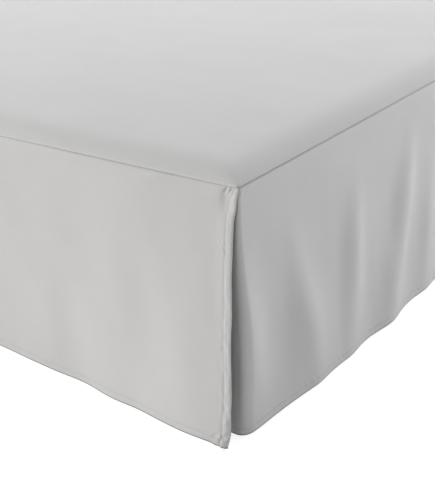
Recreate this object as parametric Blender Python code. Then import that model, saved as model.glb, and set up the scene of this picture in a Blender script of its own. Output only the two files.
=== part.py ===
"""Tailored bed skirt with lapped corners, hung over a plain upholstered bed base on six turned legs.

Metres, +Z up. X runs across the bed and Y along it, with the foot end at -Y. The origin is on the floor,
under the middle of the whole object. The skirt is a flat deck sewn to one foot panel and two side panels.
"""

import math

import bmesh
import bpy
from mathutils import Vector

# Driving dimensions of the bed and the skirt
BED_WIDTH = 1.520
BED_LENGTH = 2.030
DECK_TOP = 0.389
SEAM_HEIGHT = 0.374
HEM_HEIGHT = 0.008
CLOTH = 0.0015

# Clearances
REST_GAP = 0.0003
LAP_GAP = 0.0005
EDGE_CLEARANCE = 0.002

# Soft rim of the deck, from its flat middle down to the seam
RIM_WIDTH = 0.060
RIM_LIP = 0.004
RIM_STEPS = 6
DECK_CORNER = 0.012
CORNER_STEPS = 5

# Skirt panels
SIDE_REACH = 0.052
FOOT_REACH = 0.043
FLARE_POWER = 1.15
WRAP_LENGTH = 0.090
WRAP_SEAM_RADIUS = 0.012
WRAP_HEM_RADIUS = 0.030
WRAP_HEM_OUT = 0.011
WRAP_STEPS = 3
SIDE_COLUMNS = 80
FOOT_COLUMNS = 44
PANEL_ROWS = 8
FOLD_START = 0.08
FOLD_FADE_POWER = 0.7
MOST_FOLD_SCALE = 2.0
FITTING_STEPS = 30

# Bed base and legs
BASE_THICKNESS = 0.200
BASE_INSET = 2 * CLOTH + LAP_GAP + EDGE_CLEARANCE
BASE_RIM_WIDTH = 0.057
BASE_RIM_DROP = 0.017
BASE_CORNER = 0.014
BASE_FOOT_EDGE = 0.008
LEG_INSET = 0.085
LEG_TOP_RADIUS = 0.030
LEG_FOOT_RADIUS = 0.022
LEG_COLLAR_RADIUS = 0.036
LEG_COLLAR_HEIGHT = 0.012
LEG_EDGE = 0.003
LEG_SIDES = 16

# Places along Y: the seam of the foot panel and the head edge, with the origin midway in the whole object
HALF_WIDTH = BED_WIDTH / 2
HEAD_EDGE = (BED_LENGTH + FOOT_REACH) / 2
FOOT_SEAM = HEAD_EDGE - BED_LENGTH
BASE_TOP = DECK_TOP - CLOTH - REST_GAP
BASE_UNDERSIDE = BASE_TOP - BASE_THICKNESS
PANEL_TOP = SEAM_HEIGHT - REST_GAP
DROP = PANEL_TOP - HEM_HEIGHT

# How far a panel's hem stands out from its seam: distance from the right or foot corner, flare
FOOT_FLARE = (
    (0.00, 0.0400),
    (0.06, 0.0410),
    (0.17, 0.0330),
    (0.32, 0.0210),
    (0.47, 0.0130),
    (0.76, 0.0150),
    (1.10, 0.0180),
    (1.36, 0.0300),
    (1.52, 0.0360),
)
SIDE_FLARE = (
    (0.00, 0.0150),
    (0.13, 0.0230),
    (0.24, 0.0320),
    (0.38, 0.0385),
    (0.60, 0.0450),
    (1.05, 0.0400),
    (1.60, 0.0300),
    (2.03, 0.0220),
)

# Soft folds: place along the seam, half width, depth at the hem, lean from seam to hem
FOOT_FOLDS = (
    (0.06, 0.045, 0.0018, 0.004),
    (0.19, 0.060, 0.0016, 0.010),
    (0.36, 0.070, 0.0018, -0.015),
    (0.55, 0.060, 0.0020, 0.012),
    (0.79, 0.080, 0.0022, 0.000),
    (1.02, 0.060, 0.0018, -0.012),
    (1.21, 0.065, 0.0024, 0.014),
    (1.39, 0.050, 0.0016, 0.010),
)
RIGHT_FOLDS = (
    (0.085, 0.032, 0.0024, 0.000),
    (0.222, 0.036, 0.0040, 0.006),
    (0.345, 0.034, 0.0044, -0.010),
    (0.475, 0.036, 0.0046, -0.014),
    (0.595, 0.034, 0.0040, 0.010),
    (0.735, 0.044, 0.0042, 0.012),
    (0.880, 0.038, 0.0036, -0.008),
    (1.030, 0.046, 0.0044, 0.010),
    (1.165, 0.036, 0.0034, 0.012),
    (1.330, 0.046, 0.0042, -0.012),
    (1.490, 0.040, 0.0036, 0.010),
    (1.640, 0.044, 0.0042, 0.012),
    (1.800, 0.038, 0.0034, -0.008),
    (1.930, 0.032, 0.0026, 0.004),
)
LEFT_FOLDS = (
    (0.095, 0.034, 0.0022, 0.004),
    (0.250, 0.042, 0.0040, -0.010),
    (0.410, 0.038, 0.0036, 0.012),
    (0.560, 0.044, 0.0046, 0.008),
    (0.700, 0.036, 0.0038, -0.012),
    (0.865, 0.046, 0.0042, 0.010),
    (1.010, 0.036, 0.0034, 0.006),
    (1.175, 0.044, 0.0044, -0.010),
    (1.335, 0.038, 0.0038, 0.012),
    (1.470, 0.042, 0.0040, -0.006),
    (1.630, 0.040, 0.0036, 0.010),
    (1.775, 0.042, 0.0042, 0.008),
    (1.915, 0.034, 0.0028, -0.004),
)

# Free edge of the foot panel: share of the drop, distance past the deck's corner
FOOT_FREE_EDGE = (
    (0.00, 0.001),
    (0.14, -0.005),
    (0.50, 0.000),
    (0.85, 0.007),
    (1.00, 0.003),
)

# Edges that bend more than this are shaded sharp
SHARP_ANGLE = math.radians(40)

# Finishes: colour, roughness
CLOTH_FINISH = ((0.62, 0.61, 0.60, 1.0), 0.85)
BASE_FINISH = ((0.71, 0.69, 0.65, 1.0), 0.90)
LEG_FINISH = ((0.33, 0.20, 0.11, 1.0), 0.45)


def clear_scene():
    for obj in list(bpy.data.objects):
        bpy.data.objects.remove(obj, do_unlink=True)


def material(name, finish):
    """A Principled finish that isn't metal."""
    colour, roughness = finish
    made = bpy.data.materials.new(name)
    made.use_nodes = True
    shader = made.node_tree.nodes["Principled BSDF"]
    shader.inputs["Base Color"].default_value = colour
    shader.inputs["Roughness"].default_value = roughness
    shader.inputs["Metallic"].default_value = 0.0
    return made


def eased(table, at):
    """The value of a two-column table at a place, easing smoothly from one row to the next."""
    if at <= table[0][0]:
        return table[0][1]
    for (start, low), (end, high) in zip(table, table[1:]):
        if at <= end:
            share = (at - start) / (end - start)
            return low + (high - low) * share * share * (3 - 2 * share)
    return table[-1][1]


def fold_relief(folds, along, share):
    """How far the soft folds stand out at a place along the seam and a share of the drop."""
    fade = min(1.0, max(0.0, (share - FOLD_START) / (1 - FOLD_START))) ** FOLD_FADE_POWER
    relief = 0.0
    for place, half_width, depth, lean in folds:
        offset = (along - place - lean * share) / half_width
        relief += depth * math.exp(-offset * offset)
    return relief * fade


def panel_out(flare, folds, along, share):
    """A panel's distance out from the vertical below its seam."""
    return eased(flare, along) * share**FLARE_POWER + fold_relief(folds, along, share)


def fitted_folds(flare, folds, columns, length, reach):
    """The folds, with their depth scaled so that the hem stands out by the reach at its furthest."""
    places = [length * column / columns for column in range(columns + 1)]
    low, high = 0.0, MOST_FOLD_SCALE
    for _ in range(FITTING_STEPS):
        scale = (low + high) / 2
        scaled = [(place, width, depth * scale, lean) for place, width, depth, lean in folds]
        if max(panel_out(flare, scaled, place, 1.0) for place in places) < reach:
            low = scale
        else:
            high = scale
    return [(place, width, depth * low, lean) for place, width, depth, lean in folds]


def object_from(mesh, name, finish):
    """An object of this mesh, shaded smooth but for its hard edges."""
    obj = bpy.data.objects.new(name, mesh)
    bpy.context.scene.collection.objects.link(obj)
    obj.data.materials.append(finish)
    mesh.shade_smooth()
    mesh.set_sharp_from_angle(angle=SHARP_ANGLE)
    return obj


def bridge_rows(bm, rows, closed):
    """Faces between neighbouring rows of points, which run round as a ring where closed."""
    count = len(rows[0])
    for upper, lower in zip(rows, rows[1:]):
        for i in range(count if closed else count - 1):
            j = (i + 1) % count
            bm.faces.new((upper[i], lower[i], lower[j], upper[j]))


def solid_cloth(name, bm, outward, finish):
    """The outer face of a cloth, facing outward on the whole, given its thickness inwards."""
    bmesh.ops.recalc_face_normals(bm, faces=bm.faces)
    agreement = sum(face.normal.dot(outward) * face.calc_area() for face in bm.faces)
    if agreement < 0:
        bmesh.ops.reverse_faces(bm, faces=bm.faces)
    mesh = bpy.data.meshes.new(name)
    bm.to_mesh(mesh)
    bm.free()
    obj = object_from(mesh, name, finish)
    wall = obj.modifiers.new("cloth_thickness", "SOLIDIFY")
    wall.thickness = CLOTH
    wall.offset = -1.0
    wall.use_even_offset = True
    return obj


def rounded_ring(half_x, low_y, high_y, radius, height):
    """Points of a rectangle with round corners, anticlockwise from the right-hand foot corner."""
    centres = (
        (half_x - radius, low_y + radius, -90),
        (half_x - radius, high_y - radius, 0),
        (radius - half_x, high_y - radius, 90),
        (radius - half_x, low_y + radius, 180),
    )
    ring = []
    for centre_x, centre_y, start in centres:
        for step in range(CORNER_STEPS + 1):
            angle = math.radians(start + 90 * step / CORNER_STEPS)
            x = centre_x + radius * math.cos(angle)
            y = centre_y + radius * math.sin(angle)
            ring.append(Vector((x, y, height)))
    return ring


def rim_rings(inset, corner, rim_width, rim_drop, top, lip):
    """Rings of a soft rim, from the bottom of its upright lip to the flat top."""
    rings = []
    if lip > 0:
        rings.append((inset, corner, top - rim_drop - lip))
    for step in range(RIM_STEPS + 1):
        angle = math.radians(90 * step / RIM_STEPS)
        inward = rim_width * (1 - math.cos(angle))
        radius = corner * (1 + inward / rim_width)
        rings.append((inset + inward, radius, top - rim_drop * (1 - math.sin(angle))))
    return [
        rounded_ring(HALF_WIDTH - inward, FOOT_SEAM + inward, HEAD_EDGE - inward, radius, height)
        for inward, radius, height in rings
    ]


def make_deck(finish):
    """The flat top cloth, which rolls over the rim of the base down to the seams."""
    drop = DECK_TOP - SEAM_HEIGHT - RIM_LIP
    rings = rim_rings(0.0, DECK_CORNER, RIM_WIDTH, drop, DECK_TOP, RIM_LIP)
    bm = bmesh.new()
    rows = [[bm.verts.new(point) for point in ring] for ring in rings]
    bridge_rows(bm, rows, closed=True)
    bm.faces.new(rows[-1])
    return solid_cloth("deck", bm, Vector((0, 0, 1)), finish)


def row_shares():
    return [row / (PANEL_ROWS - 1) for row in range(PANEL_ROWS)]


def make_foot_panel(finish):
    """The panel across the foot, whose two free edges lap over the side panels."""
    folds = fitted_folds(FOOT_FLARE, FOOT_FOLDS, FOOT_COLUMNS, BED_WIDTH, FOOT_REACH)
    bm = bmesh.new()
    rows = []
    for share in row_shares():
        half = HALF_WIDTH + eased(FOOT_FREE_EDGE, share)
        row = []
        for column in range(FOOT_COLUMNS + 1):
            x = half * (1 - 2 * column / FOOT_COLUMNS)
            out = panel_out(FOOT_FLARE, folds, HALF_WIDTH - x, share)
            row.append(bm.verts.new((x, FOOT_SEAM - out, PANEL_TOP - DROP * share)))
        rows.append(row)
    bridge_rows(bm, rows, closed=False)
    return solid_cloth("foot_panel", bm, Vector((0, -1, 0)), finish)


def side_row(folds, share):
    """One level of a side panel in plan, as (across, along): the straight run, the corner, then the wrap."""
    radius = WRAP_SEAM_RADIUS + (WRAP_HEM_RADIUS - WRAP_SEAM_RADIUS) * share
    wrap_out = WRAP_HEM_OUT * share - (CLOTH + LAP_GAP) * (1 - share)
    turn = radius - wrap_out
    points = []
    for column in range(SIDE_COLUMNS + 1):
        along = BED_LENGTH + (turn - BED_LENGTH) * column / SIDE_COLUMNS
        points.append((HALF_WIDTH + panel_out(SIDE_FLARE, folds, along, share), FOOT_SEAM + along))
    centre_x = points[-1][0] - radius
    centre_y = FOOT_SEAM - wrap_out + radius
    for step in range(1, CORNER_STEPS + 1):
        angle = math.radians(-90 * step / CORNER_STEPS)
        points.append((centre_x + radius * math.cos(angle), centre_y + radius * math.sin(angle)))
    for step in range(1, WRAP_STEPS + 1):
        points.append((centre_x - (WRAP_LENGTH - radius) * step / WRAP_STEPS, centre_y - radius))
    return points


def make_side_panel(name, side, fold_table, finish):
    """A side panel, which turns the foot corner and runs on behind the foot panel. side is 1 or -1."""
    folds = fitted_folds(SIDE_FLARE, fold_table, SIDE_COLUMNS, BED_LENGTH, SIDE_REACH)
    bm = bmesh.new()
    rows = []
    for share in row_shares():
        height = PANEL_TOP - DROP * share
        rows.append([bm.verts.new((side * x, y, height)) for x, y in side_row(folds, share)])
    bridge_rows(bm, rows, closed=False)
    return solid_cloth(name, bm, Vector((side, 0, 0)), finish)


def make_base(finish):
    """The upholstered box that the skirt is made for."""
    rings = rim_rings(BASE_INSET, BASE_CORNER, BASE_RIM_WIDTH, BASE_RIM_DROP, BASE_TOP, 0.0)
    half, low, high = HALF_WIDTH - BASE_INSET, FOOT_SEAM + BASE_INSET, HEAD_EDGE - BASE_INSET
    lower = [
        rounded_ring(
            half - BASE_FOOT_EDGE,
            low + BASE_FOOT_EDGE,
            high - BASE_FOOT_EDGE,
            BASE_CORNER - BASE_FOOT_EDGE,
            BASE_UNDERSIDE,
        ),
        rounded_ring(half, low, high, BASE_CORNER, BASE_UNDERSIDE + BASE_FOOT_EDGE),
    ]
    bm = bmesh.new()
    rows = [[bm.verts.new(point) for point in ring] for ring in lower + rings]
    bridge_rows(bm, rows, closed=True)
    bm.faces.new(rows[0])
    bm.faces.new(rows[-1])
    bmesh.ops.recalc_face_normals(bm, faces=bm.faces)
    mesh = bpy.data.meshes.new("bed_base")
    bm.to_mesh(mesh)
    bm.free()
    return object_from(mesh, "bed_base", finish)


def leg_mesh():
    """A turned leg with a collar under the base, standing on the floor."""
    top = BASE_UNDERSIDE - REST_GAP
    collar = top - LEG_COLLAR_HEIGHT
    profile = (
        (LEG_FOOT_RADIUS - LEG_EDGE, 0.0),
        (LEG_FOOT_RADIUS, LEG_EDGE),
        (LEG_TOP_RADIUS, collar),
        (LEG_COLLAR_RADIUS - LEG_EDGE, collar),
        (LEG_COLLAR_RADIUS, collar + LEG_EDGE),
        (LEG_COLLAR_RADIUS, top - LEG_EDGE),
        (LEG_COLLAR_RADIUS - LEG_EDGE, top),
    )
    bm = bmesh.new()
    rows = []
    for radius, height in profile:
        ring = []
        for side in range(LEG_SIDES):
            angle = 2 * math.pi * side / LEG_SIDES
            ring.append(bm.verts.new((radius * math.cos(angle), radius * math.sin(angle), height)))
        rows.append(ring)
    bridge_rows(bm, rows, closed=True)
    bm.faces.new(rows[0])
    bm.faces.new(rows[-1])
    bmesh.ops.recalc_face_normals(bm, faces=bm.faces)
    mesh = bpy.data.meshes.new("leg")
    bm.to_mesh(mesh)
    bm.free()
    return mesh


def make_legs(finish):
    """Three legs down each side of the base."""
    mesh = leg_mesh()
    across = HALF_WIDTH - LEG_INSET
    middle = (FOOT_SEAM + HEAD_EDGE) / 2
    rows = (
        ("foot", FOOT_SEAM + LEG_INSET),
        ("middle", middle),
        ("head", HEAD_EDGE - LEG_INSET),
    )
    for row, y in rows:
        for side, x in (("left", -across), ("right", across)):
            leg = object_from(mesh.copy(), f"leg_{row}_{side}", finish)
            leg.location = (x, y, 0.0)


def main():
    clear_scene()
    cloth = material("skirt_cloth", CLOTH_FINISH)
    make_deck(cloth)
    make_foot_panel(cloth)
    make_side_panel("side_panel_right", 1, RIGHT_FOLDS, cloth)
    make_side_panel("side_panel_left", -1, LEFT_FOLDS, cloth)
    make_base(material("base_ticking", BASE_FINISH))
    make_legs(material("leg_wood", LEG_FINISH))


main()
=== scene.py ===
"""Looks of a tailored bed skirt over its bed base: hung cloth with hems, seams and stitching."""

import math

import bmesh
import bpy
import numpy as np
from mathutils import Matrix, Vector


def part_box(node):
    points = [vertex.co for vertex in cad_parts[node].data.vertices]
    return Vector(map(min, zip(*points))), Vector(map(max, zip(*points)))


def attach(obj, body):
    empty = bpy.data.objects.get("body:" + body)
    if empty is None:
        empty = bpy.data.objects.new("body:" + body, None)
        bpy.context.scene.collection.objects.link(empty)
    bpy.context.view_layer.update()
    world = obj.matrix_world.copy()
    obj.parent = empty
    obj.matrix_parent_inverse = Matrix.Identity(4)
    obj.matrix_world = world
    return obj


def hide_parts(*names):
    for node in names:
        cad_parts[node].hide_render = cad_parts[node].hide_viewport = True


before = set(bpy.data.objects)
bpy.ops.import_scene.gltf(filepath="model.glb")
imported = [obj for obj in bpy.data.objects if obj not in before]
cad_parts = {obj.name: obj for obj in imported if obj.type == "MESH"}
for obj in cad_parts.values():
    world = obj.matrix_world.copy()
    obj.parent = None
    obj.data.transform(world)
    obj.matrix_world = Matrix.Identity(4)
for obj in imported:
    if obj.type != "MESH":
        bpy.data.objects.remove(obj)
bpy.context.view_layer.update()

# Places of the skirt, from the frame
DECK_LOW, DECK_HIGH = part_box("deck")
HALF_WIDTH = DECK_HIGH.x
FOOT_SEAM = DECK_LOW.y
HEAD_EDGE = DECK_HIGH.y
SEAM_HEIGHT = DECK_LOW.z
DECK_TOP = DECK_HIGH.z
BED_WIDTH = 2 * HALF_WIDTH
BED_LENGTH = HEAD_EDGE - FOOT_SEAM
HEM_HEIGHT = 0.008
DROP = SEAM_HEIGHT - HEM_HEIGHT

# Cloth, in metres
CLOTH = 0.0012
HEM_CLOTH = 0.0019
HEM = 0.0115
HEM_MARGIN = 0.0008
HEM_ROLL = 0.0010
HEM_ROLL_REACH = 0.0026
STITCH_SINK = 0.0006
STITCH_SINK_WIDTH = 0.0013
GATHER_REACH = 0.009
SIDE_TUCK = 0.0024
SIDE_TUCK_REACH = 0.0030
FOOT_TUCK = 0.0004
FOOT_TUCK_REACH = 0.007
SMOOTH_ANGLE = math.radians(50)

# Hems: fullness, height of the gathers and their wavelength
FOOT_HEM = (0.00015, 0.00040, 0.014)
FREE_EDGE_HEM = (0.00030, 0.00040, 0.0095)
SIDE_HEM = (0.00012, 0.00028, 0.013)
HEAD_HEM = (0.00020, 0.00030, 0.020)
HEAD_HEM_REACH = 0.06
GATHER_SLANT = 0.5
FREE_EDGE_SLANT = 1.1

# Gathers below a seam: heights, wavelength and reach
FOOT_SEAM_GATHER = 0.00018
SIDE_SEAM_GATHER = 0.00008
SEAM_GATHER_WAVE = 0.018
SEAM_GATHER_REACH = 0.016

# Unevenness of the cloth: height, wavelength
RIPPLE_WAVES = 10
DECK_FULLNESS = 0.0003
DECK_SMALL_WAVES = (0.00025, 0.16)
DECK_LONG_WAVES = (0.0004, 0.55)
DECK_GATHERS = (0.0002, 0.019)
DECK_GATHER_REACH = 0.014
FOOT_SMALL_WAVES = (0.0006, 0.10)
FOOT_LONG_WAVES = (0.0012, 0.33)
FOOT_HEM_WAVES = (0.0007, 0.13)
SIDE_SMALL_WAVES = (0.00010, 0.08)
SIDE_LONG_WAVES = (0.0009, 0.26)
SIDE_HEM_WAVES = (0.0008, 0.12)
CRUMPLES = (0.00045, 0.016)
CRUMPLE_STRETCH = 1.6
CRUMPLE_REACH = 0.018
HEM_WAVES_START = 0.7
HANG_SPREAD = math.radians(28)

# Foot panel's roll below its seam and its free edges
SEAM_ROLL = 0.0027
SEAM_ROLL_START = 0.002
SEAM_ROLL_REACH = 0.014
SEAM_CALM = 0.030
FREE_EDGE_WIDTH = 0.030
LAP_PROUD = 0.0015
CORNER_CURL = 0.0035
CORNER_CURL_REACH = 0.010
TIP_DROP = 0.0035
TIP_REACH = 0.035

# Painted shade in the panels' finish, darker along the hem's fold, the stitching and the seam
HEM_DARK = (0.11, 0.11, 0.11, 1.0)
HEM_DARKENING = 0.95
HEM_EDGE_WIDTH = 0.0042
STITCH_SHADE = 0.15
STITCH_SHADE_WIDTH = 0.0012
SEAM_SHADE = 0.40
SEAM_SHADE_WIDTH = 0.0026

# Stitching: rings of a stitch as place along it and share of its radius
STITCH_PITCH = 0.0032
STITCH_START = 0.004
STITCH_END = 0.003
SIDE_STITCH_START = 0.030
STITCH_LENGTH = 0.0026
STITCH_RADIUS = 0.00030
STITCH_RAISE = 0.00005
STITCH_SIDES = 5
STITCH_RINGS = ((-0.50, 0.0), (-0.30, 1.0), (0.30, 1.0), (0.50, 0.0))

# Loose thread ends: place from the free edge, and steps from there
THREAD_RADIUS = 0.00032
THREAD_START = 0.001
THREAD_ENDS = (
    (0.0040, (
        (0.0, 0.0, 0.0), (0.0008, -0.0006, -0.0012), (0.0004, -0.0016, -0.0026), (-0.0012, -0.0020, -0.0030),
    )),
    (0.0065, (
        (0.0, 0.0, 0.0), (-0.0004, -0.0008, -0.0014), (0.0006, -0.0012, -0.0028), (0.0018, -0.0010, -0.0032),
    )),
)

# Bed base. Its piping is raised in two steps: share of the width, share of the rise
BASE_CROWN = 0.0109
BASE_CROWN_WIDTH = 0.0604
BASE_CORNER = 0.014
CROWN_STEPS = 8
UNDERSIDE_BORDER = 0.008
UNDERSIDE_GROOVE = 0.0015
PIPE_INSET = 0.016
PIPE_WIDTH = 0.006
PIPE_RAISE = 0.002
PIPE_STEPS = ((0.18, 0.7), (0.16, 0.3))

# Legs: share of the height, radius
LEG_NODES = [f"leg_{place}_{side}" for place in ("foot", "middle", "head") for side in ("left", "right")]
LEG_SIDES = 48
LEG_RINGS = (
    (0.000, 0.0190), (0.006, 0.0210), (0.018, 0.0220), (0.040, 0.0222), (0.200, 0.0238), (0.400, 0.0256),
    (0.600, 0.0276), (0.740, 0.0290), (0.765, 0.0280), (0.775, 0.0284), (0.790, 0.0312), (0.805, 0.0324),
    (0.820, 0.0312), (0.835, 0.0284), (0.845, 0.0280), (0.880, 0.0300), (0.915, 0.0335), (0.930, 0.0352),
    (0.940, 0.0359), (0.975, 0.0360), (0.990, 0.0355), (1.000, 0.0340),
)

# Rim of the deck. Its stations are cloth distances from the lower edge
RIM_WIDTH = 0.064
RIM_LIP = 0.003
DECK_CORNER = 0.005
FOOT_RIM_SHARE = 0.65
CORNER_PATCH = 2 * DECK_CORNER + RIM_WIDTH
LIP_STEPS = 8
RIM_STEPS = 40
RIM_STATIONS = (
    0.0, 0.0006, 0.0012, 0.0020, 0.0029, 0.0038, 0.0048, 0.0060, 0.0078, 0.0105,
    0.014, 0.018, 0.023, 0.029, 0.036, 0.044, 0.053, 0.063, 0.074,
)
LAST_STATION_GAP = 0.004
DECK_SPACING = 0.010

# Stations down a panel below its seam, and spacing of its grid
TOP_STATIONS = [0.0, 0.0008, 0.0016, 0.0028, 0.0045, 0.0065, 0.009, 0.012, 0.0155, 0.0195, 0.024]
MIDDLE_START = 0.030
HEM_STATIONS_HEIGHT = 0.024
HEM_SPACING = 0.0013
FOLD_HEIGHT = 0.003
FOLD_SPACING = 0.0006
FOOT_DOWN_SPACING = 0.0027
FOOT_SPACING = 0.0062
FREE_EDGE_SPACING = 0.0012
SIDE_DOWN_SPACING = 0.009
SIDE_SPACING = 0.0033
CORNER_COLUMNS = 14
WRAP_COLUMNS = 10

# Side panel's turn round the foot corner
WRAP_LENGTH = 0.090
WRAP_SEAM_REACH = 0.003
WRAP_HEM_REACH = 0.023
WRAP_SEAM_IN = 0.0020
WRAP_HEM_OUT = 0.0065
TURN_POWER = 1.5
TURN_STEPS = 60

# Flare and folds of a panel towards its hem
FLARE_POWER = 1.10
HEM_CALM = 0.45
HEM_CALM_START = 0.60
FOLD_WIDENING = (0.75, 0.35)
FOLD_RISE = 0.45

# How far a hem stands out from its seam: distance from the right or foot corner, flare
FOOT_FLARE = (
    (0.00, 0.0400), (0.06, 0.0410), (0.17, 0.0330), (0.32, 0.0210), (0.47, 0.0130),
    (0.76, 0.0150), (1.10, 0.0180), (1.36, 0.0300), (1.52, 0.0360),
)
SIDE_FLARE = (
    (0.00, 0.0110), (0.13, 0.0232), (0.24, 0.0320), (0.38, 0.0385),
    (0.60, 0.0450), (1.05, 0.0400), (1.60, 0.0300), (2.03, 0.0220),
)

# Soft folds: place along the seam, lean from seam to hem, half width, depth, start as a share of the drop
FOOT_FOLDS = (
    (0.060, 0.004, 0.045, 0.0018, 0.10),
    (0.190, 0.010, 0.060, 0.0016, 0.05),
    (0.360, -0.015, 0.070, 0.0020, 0.00),
    (0.550, 0.012, 0.060, 0.0022, 0.10),
    (0.790, 0.000, 0.080, 0.0024, 0.00),
    (1.020, -0.012, 0.060, 0.0020, 0.15),
    (1.210, 0.014, 0.065, 0.0026, 0.00),
    (1.390, 0.010, 0.050, 0.0018, 0.10),
)
RIGHT_FOLDS = (
    (-0.016, 0.042, 0.040, 0.0094, 0.14),
    (0.118, 0.052, 0.035, 0.0072, 0.16),
    (0.150, 0.020, 0.060, 0.0090, 0.40),
    (0.330, -0.055, 0.033, 0.0074, 0.12),
    (0.425, -0.012, 0.042, 0.0065, 0.42),
    (0.555, -0.143, 0.038, 0.0088, 0.05),
    (0.640, -0.084, 0.030, 0.0058, 0.25),
    (0.742, 0.030, 0.044, 0.0070, 0.10),
    (0.900, -0.025, 0.034, 0.0056, 0.25),
    (1.030, 0.020, 0.046, 0.0072, 0.08),
    (1.175, 0.040, 0.032, 0.0050, 0.30),
    (1.335, -0.030, 0.042, 0.0070, 0.10),
    (1.480, 0.015, 0.034, 0.0054, 0.22),
    (1.640, 0.025, 0.044, 0.0068, 0.12),
    (1.800, -0.020, 0.036, 0.0052, 0.25),
    (1.940, 0.005, 0.032, 0.0040, 0.15),
)
LEFT_FOLDS = (
    (0.110, 0.050, 0.034, 0.0052, 0.20),
    (0.250, -0.020, 0.042, 0.0068, 0.10),
    (0.405, 0.030, 0.034, 0.0054, 0.28),
    (0.560, 0.015, 0.044, 0.0072, 0.10),
    (0.705, -0.040, 0.036, 0.0060, 0.15),
    (0.865, 0.020, 0.046, 0.0070, 0.08),
    (1.015, 0.010, 0.032, 0.0050, 0.30),
    (1.175, -0.025, 0.042, 0.0070, 0.12),
    (1.335, 0.035, 0.036, 0.0058, 0.20),
    (1.470, -0.010, 0.044, 0.0066, 0.10),
    (1.630, 0.020, 0.038, 0.0054, 0.25),
    (1.785, 0.010, 0.044, 0.0064, 0.10),
    (1.925, -0.010, 0.032, 0.0042, 0.20),
)

# Free edge of the foot panel: share of the drop, distance past the deck's corner
FOOT_FREE_EDGE = (
    (0.00, -0.0010), (0.06, -0.0026), (0.14, -0.0053), (0.30, -0.0042),
    (0.50, 0.0002), (0.85, 0.0073), (0.93, 0.0081), (1.00, 0.0038),
)

# Single creases: place along, place down, half length, half width, height, turn in degrees
FOOT_CREASES = (
    (0.017, 0.018, 0.016, 0.008, -0.0026, 98),
    (0.0075, 0.010, 0.012, 0.0018, -0.0012, 74),
    (0.0115, 0.006, 0.006, 0.0015, -0.0011, 62),
    (0.0145, 0.0055, 0.006, 0.0015, 0.0010, 58),
    (0.0180, 0.0050, 0.006, 0.0015, -0.0010, 55),
    (0.0215, 0.0045, 0.006, 0.0015, 0.0008, 50),
    (0.028, 0.006, 0.012, 0.003, 0.0007, 20),
    (0.125, 0.006, 0.022, 0.003, 0.0012, 12),
    (0.100, 0.013, 0.020, 0.003, -0.0010, 16),
    (0.142, 0.014, 0.016, 0.003, 0.0008, 8),
    (0.060, 0.014, 0.040, 0.010, -0.0012, 8),
)
RIGHT_CREASES = (
    (0.006, 0.008, 0.007, 0.0030, 0.0009, -48),
    (0.013, 0.008, 0.008, 0.0030, -0.0006, -48),
    (0.020, 0.008, 0.009, 0.0030, 0.0006, -42),
)
LEFT_CREASES = (
    (0.025, 0.012, 0.022, 0.003, 0.0005, 28),
)

# Side panels: node, side, folds, creases, seed of the unevenness
SIDE_PANELS = (
    ("side_panel_right", 1, RIGHT_FOLDS, RIGHT_CREASES, 60),
    ("side_panel_left", -1, LEFT_FOLDS, LEFT_CREASES, 70),
)

# Woven finishes: pitch, dark and light tone, share of the slubs in the tone, relief and sheen
SKIRT_WEAVE = (0.0008, ((0.530, 0.530, 0.529, 1.0), (0.614, 0.614, 0.613, 1.0)), 0.35, 0.00004, 0.15)
TICKING_WEAVE = (0.0014, ((0.62, 0.60, 0.56, 1.0), (0.76, 0.74, 0.70, 1.0)), 0.55, 0.00010, 0.10)

# Other finishes: dark and light tones, shares of the weave's height, stretches of the noise per metre
THREAD_TONES = ((0.50, 0.50, 0.49, 1.0), (0.66, 0.66, 0.65, 1.0))
WOOD_TONES = ((0.135, 0.062, 0.026, 1.0), (0.330, 0.185, 0.092, 1.0))
THREAD_SHARE = 0.25
CROSSING_SHARE = 0.4
SLUB_STRETCH = (28.0, 620.0)
GRAIN_STRETCH = (26.0, 26.0, 2.2)
PORE_STRETCH = (900.0, 900.0, 30.0)
WOOD_RELIEF = 0.0002

# Camera, fitted to the seams and hems in the photograph: its place from the seam's right foot corner
CAMERA_FROM_CORNER = Vector((0.56992, -0.87673, 0.0))
CAMERA_HEIGHT = 0.766
CAMERA_AZIMUTH = math.radians(34.527)
CAMERA_ELEVATION = math.radians(24.277)
CAMERA_ROLL = math.radians(-0.869)
FOCAL_PIXELS = 899.86
IMAGE_HEIGHT = 495
SENSOR = 36.0

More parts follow.
